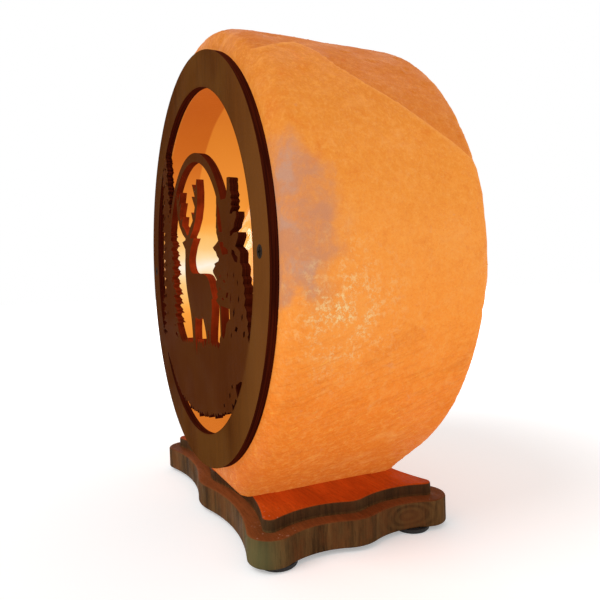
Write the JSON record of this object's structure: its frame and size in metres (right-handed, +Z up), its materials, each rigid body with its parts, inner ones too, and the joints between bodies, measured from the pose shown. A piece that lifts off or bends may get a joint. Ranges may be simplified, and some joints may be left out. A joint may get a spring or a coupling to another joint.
{
  "type": "salt crystal lamp",
  "caption": "Round salt crystal table lamp on a wavy stepped wooden plinth, with a lit niche behind a laser-cut woodland picture and a screw-in bulb that draws out from below.",
  "frame": {"origin": "on the table, under the middle of the whole footprint", "axes": "+Z up, the picture faces -Y, +X to the right as one looks at the picture"},
  "size_m": [0.191, 0.0855, 0.2037],
  "materials": {
    "board_wood": "oiled walnut-brown wood, satin",
    "plywood": "stained plywood, laser-cut, satin",
    "salt": "rough translucent rock salt",
    "rubber": "matte black",
    "plug_plastic": "grey nylon",
    "steel": "plain steel",
    "dark_screw": "black oxide",
    "holder_plastic": "black thermoset",
    "ceramic": "white glazed ceramic",
    "brass": "plain",
    "zinc_steel": "zinc plated",
    "spring_steel": "spring steel",
    "cap_metal": "drawn and rolled",
    "black_glass": "black vitrite",
    "solder": "solder",
    "clear_glass": "clear",
    "wire": "drawn wire"
  },
  "bodies": {
    "lamp": {"base_plinth": "board_wood", "base_screws": "steel", "base_plugs": "plug_plastic", "cord_grommet": "rubber", "salt_block": "salt", "fretwork_panel": "plywood", "panel_screws": "dark_screw", "panel_plugs": "plug_plastic", "foot_front_left": "rubber", "foot_front_right": "rubber", "foot_rear_left": "rubber", "foot_rear_right": "rubber"},
    "holder": {"holder_shell": "holder_plastic", "holder_cap": "holder_plastic", "contact_block": "ceramic", "screw_liner": "brass", "centre_contact": "brass", "terminal_screws": "steel", "threaded_nipple": "zinc_steel", "nipple_nut": "zinc_steel", "spring_clip": "spring_steel"},
    "bulb_tip": {"bulb_contact": "solder", "bulb_insulator": "black_glass"},
    "bulb": {"bulb_cap": "cap_metal", "bulb_envelope": "clear_glass", "bulb_stem": "clear_glass", "lead_wires": "wire", "support_wires": "wire", "filament": "wire"}
  },
  "joints": [
    {"name": "holder_slide", "type": "slide", "parent": "lamp", "child": "holder", "axis": [0, 0, -1], "range_m": [0, 0.15]},
    {"name": "bulb_lift", "type": "slide", "parent": "holder", "child": "bulb_tip", "axis": [0, 0, 1], "range_m": [0, 0.0127]},
    {"name": "bulb_turn", "type": "hinge", "parent": "bulb_tip", "child": "bulb", "pos_m": [0, -0.00975, 0.0982], "axis": [0, 0, 1], "range_deg": [0, 1620]}
  ],
  "couplings": [
    {"joint": "bulb_lift", "follows": "bulb_turn", "m_per_rad": 0.00044914}
  ]
}
